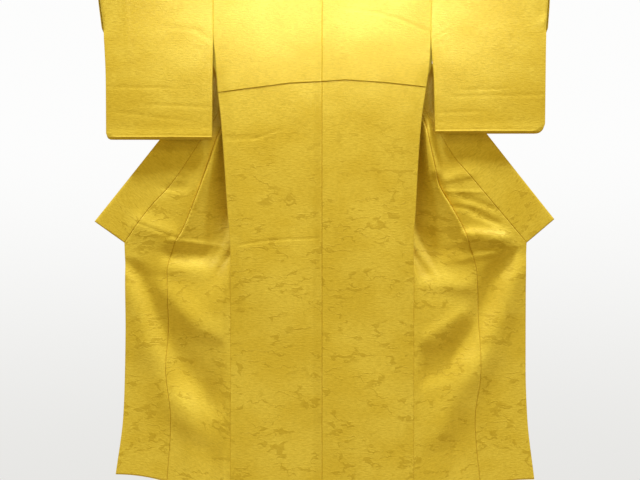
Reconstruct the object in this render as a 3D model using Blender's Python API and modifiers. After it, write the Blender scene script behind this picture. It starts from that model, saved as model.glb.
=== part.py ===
"""A kimono hung on a rod and seen from the back, its two fronts opened out sideways behind the sleeves.

Metres, +Z up, +X to the right of someone who faces the back, +Y away from them. The origin is the
rod's centre, under the shoulder fold. The left and right halves are nearly mirror images, so most
lengths below are distances out from the centre-back seam.
"""

from collections import namedtuple
import math

import bmesh
import bpy
from mathutils import Vector

# Cloth and seams
WALL = 0.0015
SEAM_GAP = 0.0003
SIDE_GAP = WALL + SEAM_GAP
FOLDED_SEAM_GAP = 0.0006

# Sizes of the garment
BODY_LENGTH = 1.65
SHOULDER_WIDTH = 0.325
ARMHOLE_DEPTH = 0.24
UNDERARM_OPENING = 0.135
NECK_HALF_WIDTH = 0.09
BACK_NECK_DROP = 0.022
OKUMI_TOP = -0.238
OKUMI_START = -0.250

# The collar stands round the neck at half its width, opens on the way down and lies flat at the tips
COLLAR_END = -0.845
COLLAR_WIDTH = 0.107
COLLAR_WIDTH_AT_NECK = 0.055
COLLAR_OPENS_BY = -0.50
COLLAR_LEAN_AT_TOP = math.radians(78)
COLLAR_TURNS_OVER = 0.045
COLLAR_LIES_FLAT_BY = -0.13
SEAM_SLOPE_SPAN = 0.03
NECK_CLEARANCE = 0.0016
NECK_ROLL_CLEARANCE = 0.0045
OVER_COLLAR_INSET = 0.10
OVER_COLLAR_RISE = 0.0022
OVER_COLLAR_END = -0.36

# The rod and how the layers lie on each side of it
ROD_RADIUS = 0.013
ROD_LENGTH = 1.46
ROD_SIDES = 40
FOLD_RADIUS = ROD_RADIUS + WALL / 2 + 0.0006
LAYER_OFFSET = 0.006
LAYERS_CLOSE_BY = -0.20
SIDE_SEAM_FADE = 0.075
SIDE_SEAM_PINCH = 0.045
SIDE_SEAM_SETBACK = 0.002

# Each front is folded back on itself along a line from the neck to the side seam
FRONT_FOLD_LEAN = 0.169
FOLD_TURN_AT_NECK = 0.005
FOLD_TURN = 0.008
FOLD_TURN_FULL_BY = -0.12
FOLD_STARTS_TO_OPEN = -0.80
FOLD_IS_OPEN = -0.98
FOLD_FORMED_BY = -0.03
TIP_SETBACK = 0.010
TIP_SETBACK_FROM, TIP_SETBACK_TO = 0.40, 0.65
FRONT_SETBACK = 0.020
FRONT_SETBACK_WIDTH = 0.12
SEAM_WITHOUT_FOLDS, FOLDS_GROW_OVER = 0.004, 0.03
HEM_RISE_POWER = 1.4

# Heights where a row of faces lies
BACK_HEIGHTS = (-0.012, -BACK_NECK_DROP, -0.06, -0.12, -0.18, -ARMHOLE_DEPTH, -0.30, -0.375,
                -0.48, -0.60, -0.75, -0.90, -1.10, -1.35, -BODY_LENGTH)
FRONT_HEIGHTS = (-0.015, -0.04, -0.08, -0.13, -0.18, OKUMI_TOP, OKUMI_START, -0.30, -0.375,
                 -0.43, -0.48, -0.52, -0.56, -0.60, -0.64, -0.68, -0.72, -0.76, -0.80, COLLAR_END,
                 -0.87, -0.90, -0.93, -0.97, -1.02, -1.07, -1.12, -1.18, -1.24, -1.31, -1.38,
                 -1.46, -1.55, -BODY_LENGTH)
SLEEVE_HEIGHTS = (-0.03, -0.08, -0.14, -0.20, -ARMHOLE_DEPTH, -0.31, -0.38, -0.45, -0.50)
ROD_ARC_STEPS = 8

# Faces across a section: the layer behind the back, the turn of the fold, and the opened front
LAYER_STEPS, TURN_STEPS, OPENED_STEPS = 2, 4, 8
GATHERED_WIDTH = 0.02
GATHERED_UNTIL = -0.14
OKUMI_STEPS = 5
COLLAR_STEPS = 3
SLEEVE_STEPS = 6

# Distance out from the centre-back seam at each height, on the left and on the right
Edge = namedtuple("Edge", "z left right")
SIDE_EDGE = (
    Edge(0.00, 0.325, 0.325),
    Edge(-ARMHOLE_DEPTH, 0.325, 0.325),
    Edge(-0.30, 0.318, 0.322),
    Edge(-0.40, 0.309, 0.308),
    Edge(-0.50, 0.301, 0.296),
    Edge(-0.60, 0.293, 0.288),
    Edge(-0.75, 0.283, 0.280),
    Edge(-0.86, 0.275, 0.274),
    Edge(-0.95, 0.273, 0.274),
    Edge(-BODY_LENGTH, 0.274, 0.274),
)
OKUMI_SEAM = (
    Edge(OKUMI_TOP, 0.196, 0.196),
    Edge(-0.40, 0.255, 0.270),
    Edge(-0.50, 0.302, 0.310),
    Edge(-0.60, 0.337, 0.332),
    Edge(-0.68, 0.365, 0.352),
    Edge(-0.75, 0.392, 0.391),
    Edge(-0.82, 0.421, 0.428),
    Edge(-0.86, 0.444, 0.442),
    Edge(-0.95, 0.465, 0.466),
    Edge(-1.10, 0.462, 0.472),
    Edge(-1.25, 0.470, 0.476),
    Edge(-1.42, 0.454, 0.460),
    Edge(-BODY_LENGTH, 0.466, 0.476),
)
COLLAR_SEAM = (
    Edge(0.00, 0.098, 0.098),
    Edge(-0.12, 0.143, 0.143),
    Edge(OKUMI_TOP, 0.196, 0.196),
    Edge(-0.40, 0.278, 0.280),
    Edge(-0.50, 0.336, 0.338),
    Edge(-0.60, 0.398, 0.398),
    Edge(-0.68, 0.453, 0.465),
    Edge(-0.75, 0.517, 0.524),
    Edge(COLLAR_END, 0.593, 0.611),
)
FRONT_EDGE = (
    Edge(COLLAR_END, 0.593, 0.611),
    Edge(-0.95, 0.591, 0.612),
    Edge(-1.10, 0.590, 0.612),
    Edge(-1.25, 0.592, 0.612),
    Edge(-1.42, 0.597, 0.617),
    Edge(-BODY_LENGTH, 0.620, 0.638),
)
SLEEVE_INNER = (
    Edge(0.00, 0.325, 0.325),
    Edge(-ARMHOLE_DEPTH, 0.325, 0.325),
    Edge(-0.38, 0.327, 0.334),
    Edge(-0.56, 0.328, 0.338),
)
SLEEVE_OUTER = (
    Edge(0.00, 0.682, 0.685),
    Edge(-0.13, 0.669, 0.681),
    Edge(-0.24, 0.656, 0.674),
    Edge(-0.38, 0.650, 0.672),
    Edge(-0.56, 0.649, 0.670),
)

# One value for each half
Half = namedtuple("Half", "left right")
HEM_RISE = Half(0.098, 0.083)
SLEEVE_BOTTOM = Half(-0.551, -0.533)
SLEEVE_CORNER = Half(0.014, 0.026)

# Folds of the opened front, from (x0, z0) to (x1, z1), deep away from the viewer, proud when negative
Fold = namedtuple("Fold", "half x0 z0 x1 z1 width depth")
FRONT_FOLDS = (
    Fold("left", 0.300, -0.56, 0.335, -0.79, 0.030, 0.020),
    Fold("left", 0.530, -0.795, 0.440, -0.838, 0.016, 0.008),
    Fold("left", 0.550, -0.818, 0.320, -0.862, 0.016, -0.012),
    Fold("left", 0.435, -0.895, 0.345, -0.890, 0.024, 0.020),
    Fold("left", 0.580, -0.880, 0.480, -1.12, 0.018, 0.010),
    Fold("left", 0.560, -0.860, 0.540, -1.08, 0.014, -0.006),
    Fold("left", 0.457, -0.952, 0.322, -1.07, 0.030, -0.012),
    Fold("left", 0.457, -1.150, 0.322, -1.29, 0.034, 0.014),
    Fold("left", 0.400, -1.36, 0.390, -1.65, 0.030, -0.012),
    Fold("left", 0.330, -1.36, 0.325, -1.65, 0.026, 0.012),
    Fold("right", 0.305, -0.54, 0.330, -0.80, 0.030, 0.020),
    Fold("right", 0.450, -0.785, 0.540, -0.815, 0.016, 0.008),
    Fold("right", 0.425, -0.815, 0.550, -0.838, 0.016, -0.010),
    Fold("right", 0.315, -0.868, 0.425, -0.868, 0.018, 0.018),
    Fold("right", 0.335, -0.905, 0.455, -0.895, 0.020, -0.010),
    Fold("right", 0.590, -0.880, 0.500, -1.12, 0.018, -0.008),
    Fold("right", 0.560, -0.880, 0.475, -1.10, 0.016, 0.009),
    Fold("right", 0.465, -1.040, 0.300, -1.26, 0.030, 0.014),
    Fold("right", 0.465, -1.120, 0.300, -1.34, 0.030, -0.012),
    Fold("right", 0.405, -1.42, 0.400, -1.65, 0.028, 0.010),
)
FOLD_END_FADE = 0.05

CLOTH_COLOUR = (0.62, 0.40, 0.055, 1.0)
ROD_COLOUR = (0.30, 0.17, 0.08, 1.0)


def smooth(share):
    """0 to 1 with level ends."""
    share = min(max(share, 0.0), 1.0)
    return share * share * (3 - 2 * share)


def mix(a, b, share):
    return a + (b - a) * share


def sign_of(half):
    return -1.0 if half == "left" else 1.0


def at_height(table, z, half):
    """A table's column at a height, on a cubic through its rows that never overshoots them."""
    rows = [(-row.z, getattr(row, half)) for row in table]
    depth = min(max(-z, rows[0][0]), rows[-1][0])
    index = next(i for i in range(len(rows) - 1) if depth <= rows[i + 1][0])
    slopes = [(b[1] - a[1]) / (b[0] - a[0]) for a, b in zip(rows, rows[1:])]
    inner = [2 * a * b / (a + b) if a * b > 0 else 0.0 for a, b in zip(slopes, slopes[1:])]
    tangents = [slopes[0]] + inner + [slopes[-1]]
    (d0, v0), (d1, v1) = rows[index], rows[index + 1]
    span = d1 - d0
    s = (depth - d0) / span
    return (v0 * (2 * s**3 - 3 * s**2 + 1) + tangents[index] * span * (s**3 - 2 * s**2 + s)
            + v1 * (3 * s**2 - 2 * s**3) + tangents[index + 1] * span * (s**3 - s**2))


# Where the layers lie


def layer_offset(z):
    """How far the back and the front layer stand from the rod's plane: on the rod above, close below."""
    return mix(LAYER_OFFSET, FOLD_RADIUS, smooth((z - LAYERS_CLOSE_BY) / -LAYERS_CLOSE_BY))


def side_seam_share(z):
    """0 down to the underarm opening's end, 1 where back and front are sewn together."""
    end = -(ARMHOLE_DEPTH + UNDERARM_OPENING)
    return smooth((end + SIDE_SEAM_FADE - z) / SIDE_SEAM_FADE)


def pinched_offset(x, z, half):
    """The layers' offset, drawn together along the side seam."""
    open_offset = layer_offset(z)
    from_edge = smooth((at_height(SIDE_EDGE, z, half) - x) / SIDE_SEAM_PINCH)
    sewn_offset = mix(SIDE_GAP / 2, open_offset, from_edge)
    return mix(open_offset, sewn_offset, side_seam_share(z))


def fold_turn(z):
    return mix(FOLD_TURN_AT_NECK, FOLD_TURN, smooth(z / FOLD_TURN_FULL_BY))


def fold_line(z):
    return NECK_HALF_WIDTH + FRONT_FOLD_LEAN * max(-z, 0.0)


def opened_share(z):
    """1 where the front is folded back behind the garment, 0 where it hangs straight from the side seam."""
    return smooth((z - FOLD_IS_OPEN) / (FOLD_STARTS_TO_OPEN - FOLD_IS_OPEN))


def fold_depth(x, z, half):
    """All the folds' depth at a place on the opened front."""
    total = 0.0
    for fold in FRONT_FOLDS:
        if fold.half != half:
            continue
        start = Vector((fold.x0, fold.z0))
        run = Vector((fold.x1, fold.z1)) - start
        place = Vector((x, z)) - start
        along = place.dot(run.normalized())
        across = (place - run.normalized() * along).length
        past_end = max(-along, along - run.length, 0.0)
        total += fold.depth * math.exp(-(across / fold.width) ** 2 - (past_end / FOLD_END_FADE) ** 2)
    return total


def behind_garment(x, z, half):
    """Y of the opened front where it is folded back, behind the back layer and the sleeve."""
    near = layer_offset(z) + 2 * fold_turn(z)
    toward_tip = smooth((x - TIP_SETBACK_FROM) / (TIP_SETBACK_TO - TIP_SETBACK_FROM))
    return near + TIP_SETBACK * toward_tip + fold_depth(x, z, half)


def beside_garment(x, z, half):
    """Y of the front where it hangs beside the back, straight from the side seam."""
    out = x - at_height(SIDE_EDGE, z, half)
    folds = fold_depth(x, z, half) * smooth((out - SEAM_WITHOUT_FOLDS) / FOLDS_GROW_OVER)
    return SIDE_GAP / 2 + FRONT_SETBACK * smooth(out / FRONT_SETBACK_WIDTH) + folds


def opened_y(x, z, half):
    return mix(beside_garment(x, z, half), behind_garment(x, z, half), opened_share(z))


def hem_lift(x, z, half):
    """The opened front hangs from its raised corner, so its hem climbs from the side seam outward."""
    side, edge = at_height(SIDE_EDGE, z, half), at_height(FRONT_EDGE, z, half)
    out = min(max((x - side) / (edge - side), 0.0), 1.0)
    down = max((FOLD_IS_OPEN - z) / (BODY_LENGTH + FOLD_IS_OPEN), 0.0)
    return getattr(HEM_RISE, half) * math.sin(out * math.pi / 2) * down**HEM_RISE_POWER


def on_opened_front(x, z, half):
    return Vector((sign_of(half) * x, opened_y(x, z, half), z + hem_lift(x, z, half)))


# Sections of a body piece: one length of cloth, up the back, over the rod and down the front


def even(count):
    return [i / count for i in range(count + 1)]


BODY_STEPS = LAYER_STEPS + TURN_STEPS + OPENED_STEPS


def at(half, x, y, z):
    """A point from its distance out from the centre-back seam."""
    return Vector((sign_of(half) * x, y, z))


def neck_edge(run_from_top):
    """Inner edge of the back layer at a distance down from the shoulder's top: half an oval neckline."""
    neck_run = FOLD_RADIUS * math.pi / 2 + BACK_NECK_DROP
    share = min(run_from_top / neck_run, 1.0)
    return max(NECK_HALF_WIDTH * math.sqrt(1 - share**2), SEAM_GAP / 2)


def flat_section(side, inner, gathered):
    """Distances out across a flat layer: even, or gathered to the inner edge as in a folded one."""
    gathered_from = inner + GATHERED_WIDTH
    wide = [mix(side, gathered_from, share) for share in even(LAYER_STEPS)]
    close = [mix(gathered_from, inner, share) for share in even(TURN_STEPS + OPENED_STEPS)[1:]]
    evenly = [mix(side, inner, share) for share in even(BODY_STEPS)]
    return [mix(b, a, gathered) for a, b in zip(wide + close, evenly)]


def back_row(z, half):
    inner = neck_edge(FOLD_RADIUS * math.pi / 2 - z)
    side = at_height(SIDE_EDGE, z, half)
    return [at(half, x, -pinched_offset(x, z, half), z)
            for x in flat_section(side, inner, 1 - smooth(z / GATHERED_UNTIL))]


def folded_section(z, half):
    """(x, y) of a front folded back behind the garment: in along the layer, round the turn and out."""
    side, turn_x, radius = at_height(SIDE_EDGE, z, half), fold_line(z), fold_turn(z)
    side -= SIDE_SEAM_SETBACK * side_seam_share(z)
    layer = [mix(side, turn_x + radius, share) for share in even(LAYER_STEPS)]
    points = [(x, pinched_offset(x, z, half)) for x in layer]
    for share in even(TURN_STEPS)[1:]:
        angle = share * math.pi
        points.append((turn_x + radius * (1 - math.sin(angle)),
                       layer_offset(z) + radius * (1 - math.cos(angle))))
    for share in even(OPENED_STEPS)[1:]:
        x = mix(turn_x + radius, front_inner_edge(z, half), share)
        points.append((x, behind_garment(x, z, half)))
    return points


def plain_section(z, half):
    """(x, y) of a front that hangs beside the back."""
    side, inner = at_height(SIDE_EDGE, z, half) - SIDE_SEAM_SETBACK, front_inner_edge(z, half)
    return [(x, beside_garment(x, z, half)) for x in (mix(side, inner, s) for s in even(BODY_STEPS))]


def front_inner_edge(z, half):
    """Inner edge of a body piece's front: the collar's seam, then the overlap panel's from its point."""
    table = COLLAR_SEAM if z >= OKUMI_TOP else OKUMI_SEAM
    return at_height(table, z, half) - FOLDED_SEAM_GAP / 2


QUARTER_TURN = FOLD_RADIUS * math.pi / 2


def formed_share(run):
    """How far the front's fold has formed at a run of cloth down from the shoulder's top."""
    return smooth(run / (QUARTER_TURN - FOLD_FORMED_BY))


def folding_section(z, half, run):
    """(x, rise off the layer) near the shoulder, where the fold grows from nothing at the top."""
    formed = formed_share(run)
    flat = flat_section(SHOULDER_WIDTH, NECK_HALF_WIDTH, 1.0)
    folded = folded_section(z, half)
    return [(mix(flat_x, x, formed), (y - layer_offset(z)) * formed)
            for flat_x, (x, y) in zip(flat, folded)]


def rod_row(angle, half):
    """A row over the rod, at an angle from the front's side of it, 0, to the back's, pi."""
    from_top = abs(angle - math.pi / 2) * FOLD_RADIUS
    if angle > math.pi / 2:
        section = [(x, 0.0) for x in flat_section(SHOULDER_WIDTH, neck_edge(from_top), 1.0)]
    else:
        section = folding_section(0.0, half, from_top)
    y, z = math.cos(angle), math.sin(angle)
    return [at(half, x, y * (FOLD_RADIUS + rise), z * (FOLD_RADIUS + rise)) for x, rise in section]


def front_row(z, half):
    if z > FOLD_FORMED_BY:
        section = folding_section(z, half, QUARTER_TURN - z)
        return [at(half, x, layer_offset(z) + rise, z) for x, rise in section]
    opened = opened_share(z)
    row = []
    for (folded_x, folded_y), (plain_x, plain_y) in zip(folded_section(z, half), plain_section(z, half)):
        x, y = mix(plain_x, folded_x, opened), mix(plain_y, folded_y, opened)
        row.append(at(half, x, y, z + hem_lift(x, z, half)))
    return row


def body_rows(half):
    rows = [back_row(z, half) for z in reversed(BACK_HEIGHTS)]
    rows += [rod_row(math.pi * (1 - share), half) for share in even(ROD_ARC_STEPS)]
    rows += [front_row(z, half) for z in FRONT_HEIGHTS]
    return rows


# Meshes


def mesh_object(name, mesh_builder, material):
    """A named object from a bmesh, with the cloth's wall added round its middle surface."""
    mesh = bpy.data.meshes.new(name)
    bmesh.ops.recalc_face_normals(mesh_builder, faces=mesh_builder.faces)
    mesh_builder.to_mesh(mesh)
    mesh_builder.free()
    mesh.shade_smooth()
    obj = bpy.data.objects.new(name, mesh)
    PARTS.objects.link(obj)
    obj.data.materials.append(material)
    wall = obj.modifiers.new("wall", "SOLIDIFY")
    wall.thickness = WALL
    wall.offset = 0.0
    wall.use_even_offset = True
    return obj


def sheet(name, rows, material):
    """A cloth piece lofted through rows of points."""
    builder = bmesh.new()
    grid = [[builder.verts.new(point) for point in row] for row in rows]
    for upper, lower in zip(grid, grid[1:]):
        for i in range(len(upper) - 1):
            builder.faces.new((upper[i], upper[i + 1], lower[i + 1], lower[i]))
    return mesh_object(name, builder, material)


def make_body(half, material):
    return sheet(f"body_{half}", body_rows(half), material)


def make_okumi(half, material):
    """The overlap panel, sewn to the front's inner edge from a point below the shoulder to the hem."""
    rows = []
    for z in FRONT_HEIGHTS:
        if z > OKUMI_START:
            continue
        inner = at_height(OKUMI_SEAM, z, half) + FOLDED_SEAM_GAP / 2
        outer_table = COLLAR_SEAM if z >= COLLAR_END else FRONT_EDGE
        outer = at_height(outer_table, z, half) - FOLDED_SEAM_GAP / 2
        rows.append([on_opened_front(mix(inner, outer, share), z, half)
                     for share in even(OKUMI_STEPS)])
    return sheet(f"okumi_{half}", rows, material)


# A place along one half of the collar's seam, with the way its width runs there
Station = namedtuple("Station", "x y z lean width lies_flat")


def neck_station(row, run, normal_angle, half):
    """A station beside a body row's inner end: before it on the back, past it as the fold forms."""
    turn = math.pi * formed_share(run)
    aside, off = -math.cos(turn) * NECK_CLEARANCE, math.sin(turn) * NECK_ROLL_CLEARANCE
    if run < 0:
        lean = mix(COLLAR_LEAN_AT_TOP, math.pi / 2, smooth(-run / (QUARTER_TURN + BACK_NECK_DROP)))
    else:
        lean = mix(COLLAR_LEAN_AT_TOP, collar_slope(FOLD_FORMED_BY, half),
                   smooth(run / COLLAR_TURNS_OVER))
    end = row[-1]
    return Station(abs(end.x) + aside, end.y + math.cos(normal_angle) * off,
                   end.z + math.sin(normal_angle) * off, lean, COLLAR_WIDTH_AT_NECK, 0.0)


def collar_stations(half):
    """Down one half of the collar, from the centre back to the tip, at the body rows' own heights."""
    stations = [Station(0.0, -FOLD_RADIUS, NECK_CLEARANCE / 2 - BACK_NECK_DROP, math.pi / 2,
                        COLLAR_WIDTH_AT_NECK, 0.0)]
    for z in BACK_HEIGHTS:
        if z > -BACK_NECK_DROP:
            stations.append(neck_station(back_row(z, half), z - QUARTER_TURN, math.pi, half))
    for share in even(ROD_ARC_STEPS):
        angle = math.pi * (1 - share)
        run = (math.pi / 2 - angle) * FOLD_RADIUS
        stations.append(neck_station(rod_row(angle, half), run, angle, half))
    for z in FRONT_HEIGHTS:
        if z > FOLD_FORMED_BY:
            stations.append(neck_station(front_row(z, half), QUARTER_TURN - z, 0.0, half))
        elif z >= COLLAR_END:
            x = at_height(COLLAR_SEAM, z, half) + FOLDED_SEAM_GAP / 2 + SEAM_GAP / 2
            width = mix(COLLAR_WIDTH_AT_NECK, COLLAR_WIDTH, smooth(z / COLLAR_OPENS_BY))
            lies_flat = smooth((FOLD_FORMED_BY - z) / (FOLD_FORMED_BY - COLLAR_LIES_FLAT_BY))
            stations.append(Station(x, opened_y(x, z, half), z, collar_slope(z, half), width, lies_flat))
    return stations


def collar_slope(z, half):
    """Angle from the vertical of the collar's seam on the opened front."""
    upper, lower = min(z + SEAM_SLOPE_SPAN, 0.0), max(z - SEAM_SLOPE_SPAN, COLLAR_END)
    out = at_height(COLLAR_SEAM, lower, half) - at_height(COLLAR_SEAM, upper, half)
    return math.atan2(out, upper - lower)


def collar_half(half, inset, end_height):
    """Rows of points across the collar, from the centre back to an end."""
    rows = []
    for station in collar_stations(half):
        if station.z < end_height - 1e-6:
            break
        row = []
        for share in even(COLLAR_STEPS):
            reach = station.width * mix(inset, 1.0, share)
            x = station.x + math.cos(station.lean) * reach
            z = station.z + math.sin(station.lean) * reach
            sway = opened_y(x, z, half) - opened_y(station.x, station.z, half)
            row.append(at(half, x, station.y + sway * station.lies_flat, z))
        rows.append(row)
    return rows


def collar_rows(inset, end_height):
    return collar_half("left", inset, end_height)[:0:-1] + collar_half("right", inset, end_height)


def moved_out(rows, distance):
    """A sheet's rows moved off its outer face, square to it."""
    moved = []
    for i, row in enumerate(rows):
        before, after = rows[max(i - 1, 0)], rows[min(i + 1, len(rows) - 1)]
        moved_row = []
        for j, point in enumerate(row):
            across = row[min(j + 1, len(row) - 1)] - row[max(j - 1, 0)]
            moved_row.append(point + (after[j] - before[j]).cross(across).normalized() * distance)
        moved.append(moved_row)
    return moved


def make_collar(material):
    return sheet("collar", collar_rows(0.0, COLLAR_END), material)


def make_over_collar(material):
    """The second strip sewn on the collar round the neck, where it wears."""
    rows = moved_out(collar_rows(OVER_COLLAR_INSET, OVER_COLLAR_END), OVER_COLLAR_RISE)
    return sheet("over_collar", rows, material)


def sleeve_heights(half):
    """Rows down a sleeve's side to its rounded corner, with how far each one's outer end is drawn in."""
    corner = getattr(SLEEVE_CORNER, half)
    bottom = getattr(SLEEVE_BOTTOM, half) + LAYER_OFFSET
    rows = [(z, 0.0) for z in SLEEVE_HEIGHTS]
    for share in even(3):
        angle = share * math.pi / 2
        rows.append((bottom + corner * (1 - math.sin(angle)), corner * (1 - math.cos(angle))))
    return rows


def sleeve_row(z, drawn_in, facing, half):
    inner = at_height(SLEEVE_INNER, z, half) + SEAM_GAP
    outer = at_height(SLEEVE_OUTER, z, half) - LAYER_OFFSET - drawn_in
    return [Vector((sign_of(half) * mix(inner, outer, share), facing * layer_offset(z), z))
            for share in even(SLEEVE_STEPS)]


def half_turn(near, far, out):
    """Points of a half circle from one layer's edge to the other's, between the two ends."""
    middle, reach = (near + far) / 2, (far - near) / 2
    angles = [share * math.pi for share in even(TURN_STEPS)[1:-1]]
    return [middle + out * reach.length * math.sin(angle) - reach * math.cos(angle) for angle in angles]


def make_sleeve(half, material):
    """A bag over the rod, open to the body's side and at the cuff, closed round its bottom corner."""
    heights = sleeve_heights(half)
    rows = [sleeve_row(z, drawn_in, -1, half) for z, drawn_in in reversed(heights)]
    top_inner = at_height(SLEEVE_INNER, 0, half) + SEAM_GAP
    top_outer = at_height(SLEEVE_OUTER, 0, half) - LAYER_OFFSET
    for share in even(ROD_ARC_STEPS):
        angle = math.pi * (1 - share)
        rows.append([Vector((sign_of(half) * mix(top_inner, top_outer, across),
                             FOLD_RADIUS * math.cos(angle), FOLD_RADIUS * math.sin(angle)))
                     for across in even(SLEEVE_STEPS)])
    rows += [sleeve_row(z, drawn_in, 1, half) for z, drawn_in in heights]

    builder = bmesh.new()
    grid = [[builder.verts.new(point) for point in row] for row in rows]
    for upper, lower in zip(grid, grid[1:]):
        for i in range(SLEEVE_STEPS):
            builder.faces.new((upper[i], upper[i + 1], lower[i + 1], lower[i]))

    # The closed edge runs from the cuff's end down the outer side, then in along the bottom
    last = len(grid) - 1
    closed_rows = len(heights) - SLEEVE_HEIGHTS.index(-ARMHOLE_DEPTH)
    route = [(row, SLEEVE_STEPS) for row in reversed(range(closed_rows))]
    route += [(0, column) for column in reversed(range(SLEEVE_STEPS))]
    strip = []
    for index, (row, column) in enumerate(route):
        near, far = grid[row][column], grid[last - row][column]
        before, after = route[max(index - 1, 0)], route[min(index + 1, len(route) - 1)]
        along = (grid[after[0]][after[1]].co - grid[before[0]][before[1]].co).normalized()
        out = along.cross(Vector((0, 1, 0))) * -sign_of(half)
        turn = [builder.verts.new(place) for place in half_turn(near.co, far.co, out)]
        strip.append([near] + turn + [far])
    for upper, lower in zip(strip, strip[1:]):
        for i in range(TURN_STEPS):
            builder.faces.new((upper[i], upper[i + 1], lower[i + 1], lower[i]))
    return mesh_object(f"sleeve_{half}", builder, material)


def make_rod(material):
    bpy.ops.mesh.primitive_cylinder_add(vertices=ROD_SIDES, radius=ROD_RADIUS, depth=ROD_LENGTH,
                                        rotation=(0, math.pi / 2, 0))
    rod = bpy.context.object
    rod.name = rod.data.name = "rod"
    for collection in rod.users_collection:
        collection.objects.unlink(rod)
    PARTS.objects.link(rod)
    rod.data.materials.append(material)
    rod.data.shade_smooth()
    rod.data.set_sharp_from_angle(angle=math.radians(40))
    return rod


def make_material(name, colour, roughness, sheen):
    material = bpy.data.materials.new(name)
    material.use_nodes = True
    shader = material.node_tree.nodes["Principled BSDF"]
    shader.inputs["Base Color"].default_value = colour
    shader.inputs["Roughness"].default_value = roughness
    shader.inputs["Sheen Weight"].default_value = sheen
    return material


for leftover in list(bpy.data.objects):
    bpy.data.objects.remove(leftover, do_unlink=True)
PARTS = bpy.data.collections.new("kimono")
bpy.context.scene.collection.children.link(PARTS)

silk = make_material("gold_silk", CLOTH_COLOUR, 0.5, 0.3)
wood = make_material("rod_wood", ROD_COLOUR, 0.55, 0.0)
for half_name in ("left", "right"):
    make_body(half_name, silk)
    make_okumi(half_name, silk)
    make_sleeve(half_name, silk)
make_collar(silk)
make_over_collar(silk)
make_rod(wood)
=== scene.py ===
"""Looks of a plain silk kimono hung on a rod: fine cloth with its seams, creases and rolled edges.

Metres, +Z up, +X to the right of someone who faces the back, +Y away from them. Each cloth piece
has its solid's form on a finer grid, with its folds and creases. The left and right halves are
nearly mirror images, so most lengths below are distances out from the centre-back seam.
"""

from collections import namedtuple
import math

import bpy
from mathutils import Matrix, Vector
import numpy as np


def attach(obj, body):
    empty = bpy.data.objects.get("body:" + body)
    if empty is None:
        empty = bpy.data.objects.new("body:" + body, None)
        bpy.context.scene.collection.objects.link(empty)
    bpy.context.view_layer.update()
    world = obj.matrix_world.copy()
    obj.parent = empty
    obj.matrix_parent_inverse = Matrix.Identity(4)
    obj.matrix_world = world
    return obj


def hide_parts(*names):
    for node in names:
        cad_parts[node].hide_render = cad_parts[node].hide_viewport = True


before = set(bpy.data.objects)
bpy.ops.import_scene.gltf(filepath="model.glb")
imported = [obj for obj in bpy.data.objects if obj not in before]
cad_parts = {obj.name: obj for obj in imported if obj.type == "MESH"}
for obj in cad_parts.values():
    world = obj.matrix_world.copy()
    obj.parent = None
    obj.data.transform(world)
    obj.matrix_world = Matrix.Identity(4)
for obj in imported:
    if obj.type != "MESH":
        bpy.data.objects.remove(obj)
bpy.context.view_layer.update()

# Cloth and seams
SHEET = 0.0007
SEAM_GAP = 0.0001
SIDE_GAP = 0.0012
SEAM_DIP, SEAM_DIP_WIDTH = 0.0023, 0.0009
EDGE_ROLL, EDGE_ROLL_WIDTH = 0.0016, 0.0030

# Sizes of the garment
BODY_LENGTH = 1.65
SHOULDER_WIDTH = 0.325
ARMHOLE_DEPTH = 0.24
UNDERARM_OPENING = 0.135
NECK_HALF_WIDTH = 0.09
BACK_NECK_DROP = 0.022
OKUMI_TOP = -0.238
OKUMI_START = -0.245

# The collar stands round the neck at half its width, opens on the way down and lies flat at the tips
COLLAR_END = -0.856
COLLAR_WIDTH = 0.107
COLLAR_WIDTH_AT_NECK = 0.055
COLLAR_STARTS_TO_OPEN = -0.15
COLLAR_OPENS_BY = -0.52
COLLAR_LEAN_AT_TOP = math.radians(78)
COLLAR_TURNS_OVER = 0.045
COLLAR_LIES_FLAT_BY = -0.13
SEAM_SLOPE_SPAN = 0.08
NECK_CLEARANCE = 0.0010
NECK_ROLL_CLEARANCE = 0.0030
OVER_COLLAR_INSET = 0.10
OVER_COLLAR_RISE = 0.0018
OVER_COLLAR_END = -0.36

# The rod and how the layers lie on each side of it
FOLD_RADIUS = 0.01435
LAYER_OFFSET = 0.006
LAYERS_CLOSE_BY = -0.20
HANGS_FREELY_BY = -0.10
SIDE_SEAM_FADE = 0.075
SIDE_SEAM_PINCH = 0.045
SIDE_SEAM_SETBACK = 0.002
QUARTER_TURN = FOLD_RADIUS * math.pi / 2

# Each front is folded back on itself along a line from the neck to the side seam
FRONT_FOLD_LEAN = 0.169
FOLD_TURN_AT_NECK = 0.005
FOLD_TURN = 0.008
FOLD_TURN_FULL_BY = -0.12
FOLD_STARTS_TO_OPEN = -0.80
FOLD_IS_OPEN = -1.05
FOLD_FORMED_BY = -0.03
TIP_SETBACK = 0.003
TIP_SETBACK_FROM, TIP_SETBACK_TO = 0.40, 0.65
FRONT_SETBACK = 0.020
FRONT_SETBACK_WIDTH = 0.12
SEAM_WITHOUT_FOLDS, FOLDS_GROW_OVER = 0.004, 0.03
HEM_RISE_POWER = 1.4

# Grid steps across a section: the layer behind the back, the turn of the fold, the opened front
LAYER_STEPS, TURN_STEPS, OPENED_STEPS = 10, 20, 40
BODY_STEPS = LAYER_STEPS + TURN_STEPS + OPENED_STEPS
STEPS_BESIDE_SEAM = (0.0, 0.0004, 0.0009, 0.0016, 0.0030, 0.0065)
SEAM_STEPS_SHARE = 0.25
GATHERED_WIDTH = 0.02
GATHERED_UNTIL = -0.14
OKUMI_STEPS = 30
COLLAR_STEPS = 20
SLEEVE_STEPS = 56
SLEEVE_TURN_STEPS = 8
SLEEVE_CORNER_STEPS = 8
ROD_ARC_STEPS = 14
FIRST_ROW = -0.006
NECK_FIRST_ROW, NECK_ROW_STEP, NECK_LAST_ROW_ABOVE = -0.002, 0.002, 0.0004

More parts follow.
